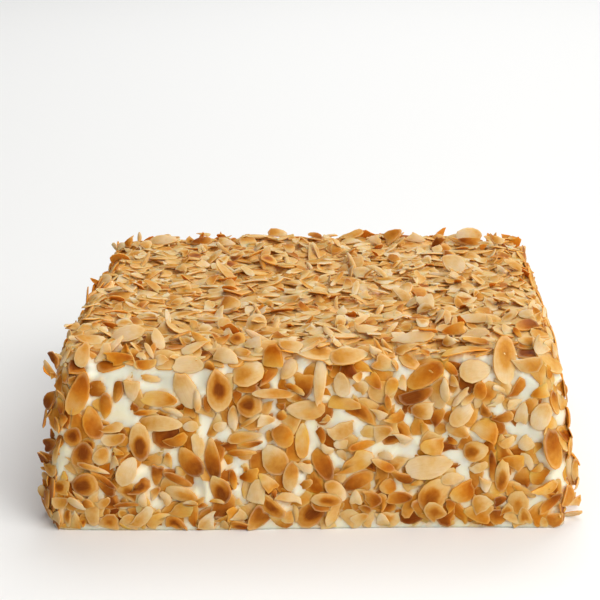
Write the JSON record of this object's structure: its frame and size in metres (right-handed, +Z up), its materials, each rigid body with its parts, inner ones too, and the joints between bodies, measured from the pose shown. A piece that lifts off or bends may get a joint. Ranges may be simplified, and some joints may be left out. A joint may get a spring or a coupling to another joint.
{
  "type": "sans rival cake",
  "caption": "Uncut square layered cake with rounded edges, masked in buttercream and covered on top and sides with toasted flaked almonds.",
  "frame": {"origin": "middle of the flat underside", "axes": "+Z up, -Y towards the front that the picture shows, +X to the right seen from the front"},
  "size_m": [0.2392, 0.2392, 0.0827],
  "materials": {
    "toasted_almond": "dry toasted almond flakes, pale cream to golden brown, satin faces and paler cut rims",
    "buttercream": "soft ivory buttercream with a faint moist sheen"
  },
  "bodies": {
    "root": {"almond_coated_cake": "toasted_almond"}
  },
  "joints": []
}
